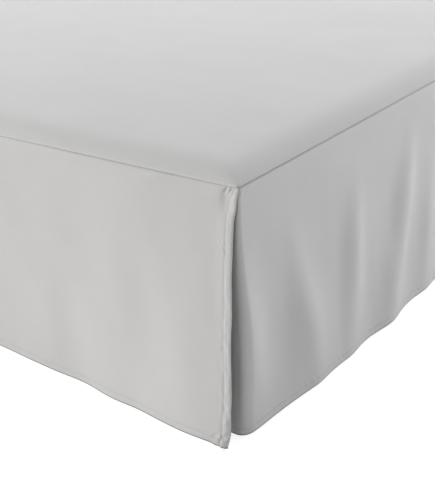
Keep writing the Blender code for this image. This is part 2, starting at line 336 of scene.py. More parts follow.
# Studio. Soft boxes: name, place, target, width, watts, tint
FLOOR_PALE = (0.60, 0.60, 0.60, 1.0)
FLOOR_GLOW = 0.10
FLOOR_SEEN_GLOW = 0.74
SURROUND_LIGHT = 0.05
WHITE = (1.0, 1.0, 1.0, 1.0)
NEUTRAL = (1.0, 1.0, 1.0)
SLIGHTLY_WARM = (1.0, 0.985, 0.962)
SLIGHTLY_PINK = (1.0, 0.978, 0.990)
SLIGHTLY_COOL = (0.980, 0.990, 1.0)
SOFT_BOXES = (
    ("overhead_box", (0.0, 0.0, 3.0), (0.0, 0.0, 0.3), 2.4, 36.0, SLIGHTLY_COOL),
    ("high_left_box", (-2.2, 0.4, 2.0), (0.3, -0.2, 0.35), 1.4, 15.0, SLIGHTLY_COOL),
    ("high_back_box", (-1.8, 3.0, 1.9), (0.3, 0.0, 0.35), 1.4, 30.0, SLIGHTLY_COOL),
    ("front_box", (-2.6, -3.4, 1.6), (0.2, -1.0, 0.2), 1.4, 136.0, SLIGHTLY_WARM),
    ("low_front_box", (0.4, -4.4, 1.3), (0.4, -1.0, 0.2), 1.4, 20.0, SLIGHTLY_WARM),
    ("right_front_box", (2.4, -3.6, 1.0), (0.76, -0.9, 0.2), 1.4, 5.5, NEUTRAL),
    ("front_card", (0.61, -1.24, 0.05), (0.63, -1.0, 0.01), 0.12, 0.044, SLIGHTLY_WARM),
    ("side_box", (2.2, 3.8, 0.9), (0.8, -0.6, 0.2), 0.8, 117.0, SLIGHTLY_PINK),
    ("low_side_box", (4.0, 0.2, 1.2), (0.76, -0.3, 0.2), 1.4, 43.0, SLIGHTLY_PINK),
    ("head_box", (-0.6, 4.8, 1.3), (0.0, 1.0, 0.25), 1.4, 58.0, SLIGHTLY_COOL),
)


# Shared cloth functions

def eased(table, at):
    """The second column of a table at these places, easing smoothly from one row to the next."""
    places, values = np.array(table).T
    at = np.clip(at, places[0], places[-1])
    row = np.clip(np.searchsorted(places, at, side="right") - 1, 0, len(places) - 2)
    share = (at - places[row]) / (places[row + 1] - places[row])
    return values[row] + (values[row + 1] - values[row]) * share**2 * (3 - 2 * share)


def step_between(value, start, end):
    """0 before start and 1 after end, easing smoothly between them."""
    share = np.clip((value - start) / (end - start), 0.0, 1.0)
    return share**2 * (3 - 2 * share)


def fold_relief(folds, along, share):
    """How far the soft folds stand out at a place along the seam and a share of the drop."""
    relief = np.zeros(np.broadcast(along, share).shape)
    seam_width, widening = FOLD_WIDENING
    for place, lean, half_width, depth, start in folds:
        width = half_width * (seam_width + widening * share)
        ridge = np.exp(-(((along - place - lean * share) / width) ** 2))
        relief += depth * ridge * step_between(share, start, start + FOLD_RISE)
    return relief * (1 - HEM_CALM * step_between(share, HEM_CALM_START, 1.0))


def ripples(along, down, wavelength, seed, spread=math.pi / 2):
    """Soft uneven waves, mostly between -1 and 1, whose crests lean up to this angle from the drop."""
    draw = np.random.default_rng(seed)
    total = np.zeros(np.broadcast(along, down).shape)
    for _ in range(RIPPLE_WAVES):
        turn = draw.uniform(-spread, spread)
        length = wavelength * draw.uniform(0.6, 1.7)
        phase = draw.uniform(0, 2 * math.pi)
        run = along * math.cos(turn) + down * math.sin(turn)
        total += np.sin(2 * math.pi * run / length + phase)
    return total / math.sqrt(RIPPLE_WAVES)


def waves_of(form, along, down, seed, spread=math.pi / 2):
    """Ripples of this height and wavelength."""
    height, wavelength = form
    return height * ripples(along, down, wavelength, seed, spread)


def puckers(along, away, wavelength, reach, seed, slant=GATHER_SLANT):
    """Small gathers beside a line of stitching, which fade with the distance away from it."""
    drift = 0.35 * wavelength * ripples(along, 0.0, 6 * wavelength, seed + 1)
    strength = np.clip(0.65 + 0.5 * ripples(along, 0.0, 7 * wavelength, seed + 2), 0.10, 1.4)
    wave = np.sin(2 * math.pi * (along + drift + slant * away) / wavelength)
    return wave * strength * np.exp(-((away / reach) ** 2))


def places_between(start, end, spacing):
    """Even places from start to end, about this far apart, without the last one."""
    steps = max(1, round(abs(end - start) / spacing))
    return [start + (end - start) * step / steps for step in range(steps)]


def link(piece):
    bpy.context.scene.collection.objects.link(piece)


def select_only(piece):
    bpy.ops.object.select_all(action="DESELECT")
    piece.select_set(True)
    bpy.context.view_layer.objects.active = piece


def apply_modifiers(piece):
    select_only(piece)
    for modifier in list(piece.modifiers):
        bpy.ops.object.modifier_apply(modifier=modifier.name)


def cloth_piece(name, points, flat_places, thickness, outward):
    """A grid of cloth with its vertices at these points and its flat places as UV map, made a thin solid."""
    rows, columns = points.shape[:2]
    bpy.ops.object.select_all(action="DESELECT")
    bpy.ops.mesh.primitive_grid_add(x_subdivisions=columns - 1, y_subdivisions=rows - 1, size=1)
    piece = bpy.context.active_object
    piece.name = piece.data.name = name
    mesh = piece.data
    mesh.vertices.foreach_set("co", points.reshape(-1).astype(np.float32))
    corners = np.zeros(len(mesh.loops), np.int32)
    mesh.loops.foreach_get("vertex_index", corners)
    cloth_map = mesh.uv_layers[0]
    cloth_map.name = "cloth"
    cloth_map.data.foreach_set("uv", flat_places.reshape(-1, 2)[corners].reshape(-1).astype(np.float32))
    mesh.update()
    normals = np.zeros(len(mesh.polygons) * 3, np.float32)
    mesh.polygons.foreach_get("normal", normals)
    if normals.reshape(-1, 3).sum(axis=0) @ np.array(outward) < 0:
        mesh.flip_normals()
    layers = piece.vertex_groups.new(name="layers")
    shares = np.round(thickness.reshape(-1) / HEM_CLOTH, 2)
    for share in np.unique(shares):
        layers.add(np.flatnonzero(shares == share).tolist(), float(share), "REPLACE")
    wall = piece.modifiers.new("cloth_thickness", "SOLIDIFY")
    wall.thickness = HEM_CLOTH
    wall.offset = -1.0
    wall.vertex_group = layers.name
    wall.thickness_vertex_group = 0.0
    apply_modifiers(piece)
    piece.data.shade_smooth()
    select_only(piece)
    bpy.ops.object.shade_smooth_by_angle(angle=SMOOTH_ANGLE)
    return piece


def tucked(distance, depth, reach):
    """How far cloth is drawn in beside a seam."""
    return depth * np.clip(1 - distance / reach, 0.0, 1.0) ** 2


# Deck

def rim_profile():
    """The deck's edge in section: cloth distance from its lower edge, distance inward, height."""
    tilt = math.atan(2 * (DECK_TOP - SEAM_HEIGHT - RIM_LIP) / RIM_WIDTH)
    section = []
    for step in range(LIP_STEPS):
        angle = math.pi / 2 + (tilt - math.pi / 2) * step / LIP_STEPS
        section.append((RIM_LIP * (1 - math.sin(angle)), SEAM_HEIGHT + RIM_LIP * math.cos(angle)))
    lip_in = RIM_LIP * (1 - math.sin(tilt))
    lip_top = SEAM_HEIGHT + RIM_LIP * math.cos(tilt)
    for step in range(RIM_STEPS + 1):
        share = step / RIM_STEPS
        section.append((lip_in + RIM_WIDTH * share, lip_top + (DECK_TOP - lip_top) * (1 - (1 - share) ** 2)))
    section.append((CORNER_PATCH, DECK_TOP))
    inward, height = np.array(section).T
    run = np.concatenate([[0.0], np.cumsum(np.hypot(np.diff(inward), np.diff(height)))])
    return run, inward, height


def deck_points(across, along):
    """The deck's outer face, and the cloth distance from its nearest edge.

    across and along are each a cloth distance from an edge, that edge's side, and the place where side is 0.
    """
    run, inward, height = rim_profile()
    patch_run = run[-1]
    x_run, x_side, x_place = across
    y_run, y_side, y_place = along
    near, far = np.minimum(x_run, y_run), np.maximum(x_run, y_run)
    depth = np.interp(near, run, inward)
    level = np.interp(near, run, height)
    radius = np.minimum(DECK_CORNER * (1 + depth / RIM_WIDTH), CORNER_PATCH - depth)
    straight = CORNER_PATCH - depth - radius
    turn_share = np.where(near < patch_run, (patch_run - far) / np.maximum(patch_run - near, 1e-6), 0.0)
    reach = np.clip(turn_share, 0.0, 1.0) * (straight + radius * math.pi / 4)
    angle = np.where(reach > straight, (reach - straight) / np.maximum(radius, 1e-6), 0.0)
    low = depth + radius * (1 - np.cos(angle))
    high = np.where(reach > straight, depth + radius * (1 - np.sin(angle)), CORNER_PATCH - reach)
    x_first = x_run <= y_run
    x_in = np.where(x_first, low, high) + tucked(x_run, SIDE_TUCK, SIDE_TUCK_REACH)
    y_in = np.where(x_first, high, low)
    y_in = y_in * (FOOT_RIM_SHARE + (1 - FOOT_RIM_SHARE) * step_between(y_in, 0.0, CORNER_PATCH))
    y_in = y_in + tucked(y_run, FOOT_TUCK, FOOT_TUCK_REACH)
    x = np.where(x_side == 0, x_place, x_side * (HALF_WIDTH - x_in))
    middle = (FOOT_SEAM + HEAD_EDGE) / 2
    y = np.where(y_side == 0, y_place, middle + y_side * (BED_LENGTH / 2 - y_in))
    return x, y, level, near


def deck_stations(low, high, spacing):
    """Grid lines across the deck from edge to edge, as arrays of cloth distance, side and place."""
    patch_run = rim_profile()[0][-1]
    runs = [run for run in RIM_STATIONS if run < patch_run - LAST_STATION_GAP] + [patch_run]
    lines = [(run, -1, 0.0) for run in runs]
    lines += [(1.0, 0, place) for place in places_between(low, high, spacing)[1:]]
    lines += [(run, 1, 0.0) for run in reversed(runs)]
    return np.array(lines).T


def make_deck(finish):
    """The flat top cloth, which rolls over the rim of the base down to the seams."""
    x_run, x_side, x_place = deck_stations(CORNER_PATCH - HALF_WIDTH, HALF_WIDTH - CORNER_PATCH, DECK_SPACING)
    y_run, y_side, y_place = deck_stations(FOOT_SEAM + CORNER_PATCH, HEAD_EDGE - CORNER_PATCH, DECK_SPACING)
    across = (x_run[None, :], x_side[None, :], x_place[None, :])
    along = (y_run[:, None], y_side[:, None], y_place[:, None])
    x, y, z, edge_run = deck_points(across, along)
    flatness = step_between(edge_run, 0.0, 0.08)
    unevenness = DECK_FULLNESS + waves_of(DECK_SMALL_WAVES, x, y, 31) + waves_of(DECK_LONG_WAVES, x, y, 32)
    gather, wavelength = DECK_GATHERS
    gathers = gather * puckers(x + y, edge_run, wavelength, DECK_GATHER_REACH, 33)
    z = z + flatness * unevenness + gathers * step_between(edge_run, 0.0, 0.02)
    points = np.stack([x, y, z], axis=-1)
    thickness = np.full(x.shape, CLOTH)
    head_hem = (y_side[:, None] > 0) & (edge_run < HEM)
    thickness[head_hem] = HEM_CLOTH
    deck = cloth_piece("deck_cloth", points, np.stack([x, y], axis=-1), thickness, (0, 0, 1))
    return dress(deck, finish, "skirt_cloth", "deck")


# Panels

def creased(table, along, down):
    """Relief of single creases: place along, place down, half length, half width, height, turn in degrees."""
    relief = np.zeros(np.broadcast(along, down).shape)
    for place, depth, half_length, half_width, height, turn in table:
        angle = math.radians(turn)
        run = (along - place) * math.cos(angle) + (down - depth) * math.sin(angle)
        aside = (down - depth) * math.cos(angle) - (along - place) * math.sin(angle)
        relief += height * np.exp(-((run / half_length) ** 2) - (aside / half_width) ** 2)
    return relief


def hem_relief(form, along, inward, seed, slant=GATHER_SLANT):
    """A narrow hem seen from outside: its full edge, the line of stitching and the gathers along it."""
    fullness, gather, wavelength = form
    full = fullness * np.sin(math.pi * np.clip(inward / HEM, 0.0, 1.0)) ** 0.8
    stitch_line = -STITCH_SINK * np.exp(-(((inward - HEM) / STITCH_SINK_WIDTH) ** 2))
    roll = -HEM_ROLL * np.clip(1 - inward / HEM_ROLL_REACH, 0.0, 1.0) ** 1.5
    gathers = gather * puckers(along, inward - HEM, wavelength, GATHER_REACH, seed, slant)
    return full + stitch_line + roll + gathers


def seam_gathers(gather, along, down, seed):
    """Small gathers in a panel below its seam."""
    strength = gather * step_between(down, 0.0, 0.004)
    return strength * puckers(along, down, SEAM_GATHER_WAVE, SEAM_GATHER_REACH, seed)


def seam_roll(along, down):
    """The soft uneven roll of the foot panel just below its seam."""
    strength = SEAM_ROLL * np.clip(0.6 + 0.4 * ripples(along, 0.0, 0.20, 47), 0.1, 1.2)
    rise = 1 - np.exp(-((down / SEAM_ROLL_START) ** 2))
    return strength * rise * np.exp(-((down / SEAM_ROLL_REACH) ** 2))


def free_edge_relief(edge, down, share):
    """The foot panel beside a free edge: hem, crumples, how far it stands proud and its curled corner."""
    crumples = waves_of(CRUMPLES, CRUMPLE_STRETCH * edge, down, 48) * np.exp(-((edge / CRUMPLE_REACH) ** 4))
    crumples = crumples * (0.35 + 0.65 * step_between(share, 0.25, 0.75))
    hem = hem_relief(FREE_EDGE_HEM, down, edge, 45, FREE_EDGE_SLANT) + crumples
    proud = LAP_PROUD * (1 - step_between(edge, 0.0, FREE_EDGE_WIDTH)) * step_between(share, 0.0, 0.12)
    proud = proud * (1 - 0.8 * step_between(share, 0.45, 0.9))
    curl = CORNER_CURL * np.clip(1 - edge / CORNER_CURL_REACH, 0.0, 1.0) ** 1.4
    return hem * step_between(down, 0.0, 0.012) + proud - curl * step_between(share, 0.84, 1.0)


def panel_thickness(edge_distance):
    return np.where(edge_distance < HEM + HEM_MARGIN, HEM_CLOTH, CLOTH)


def foot_surface(along, down):
    """The foot panel's outer face. along runs from the right free edge, down from the seam."""
    share = down / DROP
    x = (HALF_WIDTH + eased(FOOT_FREE_EDGE, share)) * (1 - 2 * along / BED_WIDTH)
    from_corner = HALF_WIDTH - x
    edge = np.minimum(along, BED_WIDTH - along)
    body = step_between(edge, 0.0, FREE_EDGE_WIDTH)
    free = step_between(down, 0.0, SEAM_CALM)
    out = eased(FOOT_FLARE, from_corner) * share**FLARE_POWER + fold_relief(FOOT_FOLDS, from_corner, share)
    out = out + waves_of(FOOT_SMALL_WAVES, along, down, 41, HANG_SPREAD) * body * free
    out = out + waves_of(FOOT_LONG_WAVES, along, down, 42, HANG_SPREAD) * free
    out = out + creased(FOOT_CREASES, along, down) - tucked(down, FOOT_TUCK, FOOT_TUCK_REACH)
    out = out + seam_gathers(FOOT_SEAM_GATHER, along, down, 43) + seam_roll(along, down) * body
    out = out + hem_relief(FOOT_HEM, along, DROP - down, 44) + free_edge_relief(edge, down, share)
    z = SEAM_HEIGHT - down
    z = z + waves_of(FOOT_HEM_WAVES, along, 0.0, 46) * step_between(share, HEM_WAVES_START, 1.0)
    z = z - TIP_DROP * (1 - step_between(edge, 0.0, TIP_REACH)) * step_between(share, 0.6, 1.0)
    return np.stack(np.broadcast_arrays(x, FOOT_SEAM - out, z), axis=-1)


def corner_turn():
    """A corner in plan, slow at the side and quicker at the front: share, way in, way forward and angle."""
    share = np.linspace(0.0, 1.0, TURN_STEPS + 1)
    angle = math.pi / 2 * share**TURN_POWER
    between = (angle[1:] + angle[:-1]) / 2
    inward = np.concatenate([[0.0], np.cumsum(np.sin(between))])
    forward = np.concatenate([[0.0], np.cumsum(np.cos(between))])
    return share, inward / forward[-1], forward / forward[-1], angle


def side_path(turned, share, folds):
    """A side panel in plan: x, y, the cloth's run from the foot, its outward direction and the wrap left.

    turned is 0 to 1 down the side from the foot corner, -1 to 0 round the corner and -2 to -1 along the wrap.
    """
    turn_share, turn_in, turn_forward, turn_angle = corner_turn()
    reach = WRAP_SEAM_REACH + (WRAP_HEM_REACH - WRAP_SEAM_REACH) * share
    start = reach - (WRAP_HEM_OUT * share - WRAP_SEAM_IN * (1 - share))
    turn = np.clip(-turned, 0.0, 1.0)
    angle = np.interp(turn, turn_share, turn_angle)
    inward = reach * np.interp(turn, turn_share, turn_in)
    forward = reach * np.interp(turn, turn_share, turn_forward)
    whole_wrap = WRAP_LENGTH - reach * turn_in[-1]
    wrap = np.clip(-turned - 1.0, 0.0, 1.0) * whole_wrap
    run = start + (BED_LENGTH - start) * np.clip(turned, 0.0, 1.0)
    from_foot = run - forward
    out = eased(SIDE_FLARE, from_foot) * share**FLARE_POWER + fold_relief(folds, from_foot, share)
    x = HALF_WIDTH + out - inward - wrap
    cloth_run = run - np.hypot(inward, forward) - wrap
    return x, FOOT_SEAM + from_foot, cloth_run, np.cos(angle), -np.sin(angle), whole_wrap - wrap


def side_surface(side, folds, creases, seed, turned, down):
    """A side panel's outer face, the cloth's run there and how much of the wrap is left."""
    share = down / DROP
    x, y, run, out_x, out_y, wrap_left = side_path(turned, share, folds)
    head = HEAD_EDGE - y
    free = step_between(turned, -1.2, -0.1) * step_between(down, 0.0, SEAM_CALM)
    relief = waves_of(SIDE_SMALL_WAVES, run, down, seed, HANG_SPREAD) * free
    relief = relief + waves_of(SIDE_LONG_WAVES, run, down, seed + 1, HANG_SPREAD) * free
    relief = relief + creased(creases, run, down) + seam_gathers(SIDE_SEAM_GATHER, run, down, seed + 2)
    relief = relief - tucked(down, SIDE_TUCK, SIDE_TUCK_REACH)
    relief = relief + hem_relief(SIDE_HEM, run, DROP - down, seed + 3)
    relief = relief + hem_relief(HEAD_HEM, down, head, seed + 4) * (head < HEAD_HEM_REACH)
    z = SEAM_HEIGHT - down
    z = z + waves_of(SIDE_HEM_WAVES, run, 0.0, seed + 5) * step_between(share, HEM_WAVES_START, 1.0)
    points = np.stack(np.broadcast_arrays(side * (x + relief * out_x), y + relief * out_y, z), axis=-1)
    return points, run, wrap_left


def down_stations(spacing):
    """Grid lines down a panel, close together at the seam and over the hem."""
    middle = places_between(MIDDLE_START, DROP - HEM_STATIONS_HEIGHT, spacing)
    hem = places_between(DROP - HEM_STATIONS_HEIGHT, DROP - FOLD_HEIGHT, HEM_SPACING)
    fold = places_between(DROP - FOLD_HEIGHT, DROP, FOLD_SPACING)
    return np.array(TOP_STATIONS + middle + hem + fold + [DROP])[:, None]


def make_foot_panel(finish):
    """The panel across the foot, whose hemmed free edges lap over the side panels."""
    edge = places_between(0.0, FREE_EDGE_WIDTH, FREE_EDGE_SPACING)
    middle = places_between(FREE_EDGE_WIDTH, BED_WIDTH - FREE_EDGE_WIDTH, FOOT_SPACING)
    far_edge = [BED_WIDTH - place for place in [FREE_EDGE_WIDTH] + edge[::-1]]
    along = np.array(edge + middle + far_edge)[None, :]
    down = down_stations(FOOT_DOWN_SPACING)
    edge_distance = np.minimum(np.minimum(along, BED_WIDTH - along), DROP - down)
    flat_places = np.stack(np.broadcast_arrays(along, down), axis=-1)
    thickness = panel_thickness(edge_distance)
    panel = cloth_piece("foot_panel_cloth", foot_surface(along, down), flat_places, thickness, (0, -1, 0))
    return dress(panel, finish, "skirt_cloth", "foot_panel")


def make_side_panel(node, side, folds, creases, seed, finish):
    """A side panel, from the head to the foot corner and round it behind the foot panel."""
    straight = 1 - np.array(places_between(0.0, 1.0, SIDE_SPACING / BED_LENGTH))
    corner = -np.array(places_between(0.0, 1.0, 1 / CORNER_COLUMNS))
    wrap = -1 - np.array(places_between(0.0, 1.0, 1 / WRAP_COLUMNS) + [1.0])
    turned = np.concatenate([straight, corner, wrap])[None, :]
    down = down_stations(SIDE_DOWN_SPACING)
    points, run, wrap_left = side_surface(side, folds, creases, seed, turned, down)
    from_end = np.minimum(np.where(turned <= -1.0, wrap_left, 1.0), BED_LENGTH - run)
    thickness = panel_thickness(np.minimum(from_end, DROP - down))
    flat_places = np.stack(np.broadcast_arrays(run, down), axis=-1)
    panel = cloth_piece(f"{node}_cloth", points, flat_places, thickness, (side, 0, 0))
    return dress(panel, finish, "skirt_cloth", node)


def dress(piece, finish, slot, *nodes):
    """Gives a piece its finish and its body, and hides the solids that it stands for."""
    piece.data.materials.clear()
    piece.data.materials.append(finish)
    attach(piece, "root")
    if nodes:
        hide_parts(*nodes)
    return piece


# Stitching

def stitches(name, rows, finish):
    """Short raised stitches as one mesh, from rows of places on the cloth and outward directions there."""
    shapes = []
    for points, outward in rows:
        run = np.gradient(points, axis=0)
        run = run / np.linalg.norm(run, axis=1, keepdims=True)
        aside = np.cross(outward, run)
        corners = []
        for place, girth in STITCH_RINGS:
            for turn in range(STITCH_SIDES if girth else 1):
                angle = 2 * math.pi * turn / STITCH_SIDES
                reach = STITCH_RADIUS * girth * (math.cos(angle) * aside + math.sin(angle) * outward)
                corners.append(points + STITCH_LENGTH * place * run + reach)
        shapes.append(np.stack(corners, axis=1))
    places = np.concatenate(shapes)
    count, size = places.shape[:2]
    one_stitch = []
    for side in range(STITCH_SIDES):
        near, next_near = 1 + side, 1 + (side + 1) % STITCH_SIDES
        far, next_far = near + STITCH_SIDES, next_near + STITCH_SIDES
        one_stitch += [(0, next_near, near), (near, next_near, next_far, far), (size - 1, far, next_far)]
    faces = [
        tuple(corner + size * stitch for corner in face) for stitch in range(count) for face in one_stitch
    ]
    mesh = bpy.data.meshes.new(name)
    mesh.from_pydata(places.reshape(-1, 3).tolist(), [], faces)
    piece = bpy.data.objects.new(name, mesh)
    link(piece)
    mesh.shade_smooth()
    return dress(piece, finish, "skirt_cloth")


def on_surface(surface, along, down, outward):
    """Points just above a surface and their outward directions, from a function of along and down."""
    step = 0.0004
    along, down = np.broadcast_arrays(along, down)
    points = surface(along, down)
    normal = np.cross(surface(along + step, down) - points, surface(along, down + step) - points)
    normal = normal / np.linalg.norm(normal, axis=1, keepdims=True)
    normal = normal * np.sign(normal @ np.array(outward))[:, None]
    return points + STITCH_RAISE * normal, normal


def stitch_places(start, end):
    return np.arange(start, end, STITCH_PITCH)


def foot_stitches(finish):
    across = stitch_places(HEM, BED_WIDTH - HEM)
    down = stitch_places(STITCH_START, DROP - STITCH_END)
    rows = [on_surface(foot_surface, across, DROP - HEM, (0, -1, 0))]
    for edge in (HEM, BED_WIDTH - HEM):
        rows.append(on_surface(foot_surface, edge, down, (0, -1, 0)))
    return stitches("foot_panel_stitches", rows, finish)


def side_stitches(node, side, folds, creases, seed, finish):
    def surface(run, down):
        start = side_path(0.0, down / DROP, folds)[1] - FOOT_SEAM
        return side_surface(side, folds, creases, seed, (run - start) / (BED_LENGTH - start), down)[0]

    along = stitch_places(SIDE_STITCH_START, BED_LENGTH - HEM)
    down = stitch_places(STITCH_START, DROP - STITCH_END)
    rows = [
        on_surface(surface, along, DROP - HEM, (side, 0, 0)),
        on_surface(surface, BED_LENGTH - HEM, down, (side, 0, 0)),
    ]
    return stitches(f"{node}_stitches", rows, finish)


def deck_stitches(finish):
    def surface(across, run):
        row = np.ones(len(across))
        x, y, z, _ = deck_points((row, 0 * row, across), (run, row, 0 * row))
        return np.stack([x, y, z], axis=-1)

    across = stitch_places(CORNER_PATCH - HALF_WIDTH, HALF_WIDTH - CORNER_PATCH)
    rows = [on_surface(surface, across, HEM, (0, 0, 1))]
    return stitches("deck_stitches", rows, finish)


def make_thread_tail(finish):
    """Two loose ends of the thread at the foot panel's lower right corner."""
    curve = bpy.data.curves.new("loose_thread_ends", "CURVE")
    curve.dimensions = "3D"
    curve.bevel_depth = THREAD_RADIUS
    curve.bevel_resolution = 2
    curve.use_fill_caps = True
    for along, steps in THREAD_ENDS:
        start = foot_surface(np.array(along), np.array(DROP - THREAD_START))
        spline = curve.splines.new("BEZIER")
        spline.bezier_points.add(len(steps) - 1)
        for point, step in zip(spline.bezier_points, steps):
            point.co = Vector(start) + Vector(step)
            point.handle_left_type = point.handle_right_type = "AUTO"
    piece = bpy.data.objects.new("loose_thread_ends", curve)
    link(piece)
    select_only(piece)
    bpy.ops.object.convert(target="MESH")
    piece.data.shade_smooth()
    return dress(piece, finish, "skirt_cloth")


# Bed base and legs

def pick_faces(piece, wanted):
    """Selects the faces for which wanted(centre, normal) is true, in edit mode."""
    bpy.ops.mesh.select_mode(type="FACE")
    bpy.ops.mesh.select_all(action="DESELECT")
    shape = bmesh.from_edit_mesh(piece.data)
    for face in shape.faces:
        face.select = wanted(face.calc_center_median(), face.normal)
    shape.select_flush_mode()
    bmesh.update_edit_mesh(piece.data)


def make_bed_base(finish):
    """The upholstered box under the deck: crowned top, piped borders and a grooved underside."""
    low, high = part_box("bed_base")
    shoulder = high.z - BASE_CROWN
    centre = Vector(((low.x + high.x) / 2, (low.y + high.y) / 2, (low.z + shoulder) / 2))
    width = high.x - low.x - 2 * PIPE_RAISE
    length = high.y - low.y - 2 * PIPE_RAISE
    bpy.ops.object.select_all(action="DESELECT")
    bpy.ops.mesh.primitive_cube_add(size=1.0, location=centre)
    piece = bpy.context.active_object
    piece.name = piece.data.name = "bed_base_box"
    piece.scale = (width, length, shoulder - low.z)
    bpy.ops.object.transform_apply(location=True, rotation=True, scale=True)
    bpy.ops.object.mode_set(mode="EDIT")
    bpy.ops.mesh.select_mode(type="EDGE")
    bpy.ops.mesh.select_all(action="DESELECT")
    shape = bmesh.from_edit_mesh(piece.data)
    for edge in shape.edges:
        edge.select = abs(edge.verts[0].co.z - edge.verts[1].co.z) > 0.05
    bmesh.update_edit_mesh(piece.data)
    bpy.ops.mesh.bevel(offset=BASE_CORNER, segments=8, affect="EDGES")
    pick_faces(piece, lambda centre, normal: normal.z > 0.9)
    inward = 2 * BASE_CROWN_WIDTH / CROWN_STEPS
    for step in range(CROWN_STEPS, 0, -1):
        rise = BASE_CROWN * (step**2 - (step - 1) ** 2) / CROWN_STEPS**2
        bpy.ops.mesh.extrude_region_move(TRANSFORM_OT_translate={"value": (0, 0, rise)})
        narrower = (1 - inward / width, 1 - inward / length, 1.0)
        bpy.ops.transform.resize(value=narrower, center_override=centre)
        width, length = width - inward, length - inward
    pick_faces(piece, lambda centre, normal: normal.z < -0.9)
    bpy.ops.mesh.inset(thickness=UNDERSIDE_BORDER, depth=0.0)
    for depth in (-UNDERSIDE_GROOVE, UNDERSIDE_GROOVE):
        bpy.ops.mesh.inset(thickness=UNDERSIDE_GROOVE, depth=depth)
    for height in (low.z + PIPE_INSET, shoulder - PIPE_INSET):
        for level in (height - PIPE_WIDTH / 2, height + PIPE_WIDTH / 2):
            bpy.ops.mesh.select_all(action="SELECT")
            bpy.ops.mesh.bisect(plane_co=(0, 0, level), plane_no=(0, 0, 1))
        pick_faces(piece, lambda centre, normal: abs(centre.z - height) < PIPE_WIDTH / 2)
        for width_share, rise_share in PIPE_STEPS:
            bpy.ops.mesh.inset(thickness=PIPE_WIDTH * width_share, depth=PIPE_RAISE * rise_share)
    bpy.ops.mesh.select_all(action="SELECT")
    bpy.ops.mesh.normals_make_consistent(inside=False)
    bpy.ops.uv.cube_project(cube_size=1.0, correct_aspect=False, scale_to_bounds=False)
    bpy.ops.object.mode_set(mode="OBJECT")
    piece.data.uv_layers[0].name = "cloth"
    bpy.ops.object.shade_smooth_by_angle(angle=math.radians(35))
    return dress(piece, finish, "base_ticking", "bed_base")


def turn_leg(height):
    """One leg standing on the origin, shaped from a disc ring by ring."""
    bpy.ops.object.select_all(action="DESELECT")
    bpy.ops.mesh.primitive_circle_add(vertices=LEG_SIDES, radius=LEG_RINGS[0][1], fill_type="NGON")
    leg = bpy.context.active_object
    bpy.ops.object.mode_set(mode="EDIT")
    bpy.ops.mesh.select_all(action="SELECT")
    for (level, radius), (next_level, next_radius) in zip(LEG_RINGS, LEG_RINGS[1:]):
        rise = (next_level - level) * height
        bpy.ops.mesh.extrude_region_move(TRANSFORM_OT_translate={"value": (0, 0, rise)})
        widen = next_radius / radius
        ring_centre = (0, 0, next_level * height)
        bpy.ops.transform.resize(value=(widen, widen, 1.0), center_override=ring_centre)
    bpy.ops.mesh.select_all(action="SELECT")
    bpy.ops.mesh.normals_make_consistent(inside=False)
    bpy.ops.object.mode_set(mode="OBJECT")
    bpy.ops.object.shade_smooth_by_angle(angle=math.radians(40))
    return leg


def make_legs(finish):
    """Six turned legs, each a copy of one pattern."""
    low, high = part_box(LEG_NODES[0])
    pattern = turn_leg(high.z - low.z)
    for node in LEG_NODES:
        low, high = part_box(node)
        leg = pattern.copy()
        leg.data = pattern.data.copy()
        leg.name = leg.data.name = node.replace("leg", "turned_leg")
        link(leg)
        leg.location = ((low.x + high.x) / 2, (low.y + high.y) / 2, low.z)
        select_only(leg)
        bpy.ops.object.transform_apply(location=True, rotation=True, scale=True)
        dress(leg, finish, "leg_wood", node)
    bpy.data.objects.remove(pattern)


# Finishes

def shader_group(name, inputs, outputs):
    """A shader node group and its two end nodes, from rows of each input's name, kind and first value."""
    group = bpy.data.node_groups.new(name, "ShaderNodeTree")
    for socket, kind, value in inputs:
        made = group.interface.new_socket(name=socket, in_out="INPUT", socket_type=kind)
        if value is not None:
            made.default_value = value
    for socket in outputs:
        group.interface.new_socket(name=socket, in_out="OUTPUT", socket_type="NodeSocketFloat")
    return group, group.nodes.new("NodeGroupInput"), group.nodes.new("NodeGroupOutput")


def put(tree, kind, inputs=(), **settings):
    """Adds a node: its settings by name, and its inputs as values or as other nodes' outputs."""
    node = tree.nodes.new(kind)
    for setting, value in settings.items():
        setattr(node, setting, value)
    for socket, value in inputs:
        if isinstance(value, bpy.types.NodeSocket):
            tree.links.new(value, node.inputs[socket])
        else:
            node.inputs[socket].default_value = value
    return node


def reckon(tree, operation, *values):
    """A Math node's output."""
    return put(tree, "ShaderNodeMath", list(enumerate(values)), operation=operation).outputs[0]


def noise(tree, place, scale, detail):
    """A Noise Texture node's strength."""
    inputs = [("Vector", place), ("Scale", scale), ("Detail", detail)]
    return put(tree, "ShaderNodeTexNoise", inputs).outputs["Fac"]


def fading(tree, value, width, strength):
    """This strength where the value is 0, fading softly to nothing at this width."""
    return put(tree, "ShaderNodeMapRange", [
        ("Value", value), ("From Min", width), ("From Max", 0.0), ("To Min", 0.0), ("To Max", strength),
    ], interpolation_type="SMOOTHSTEP").outputs[0]


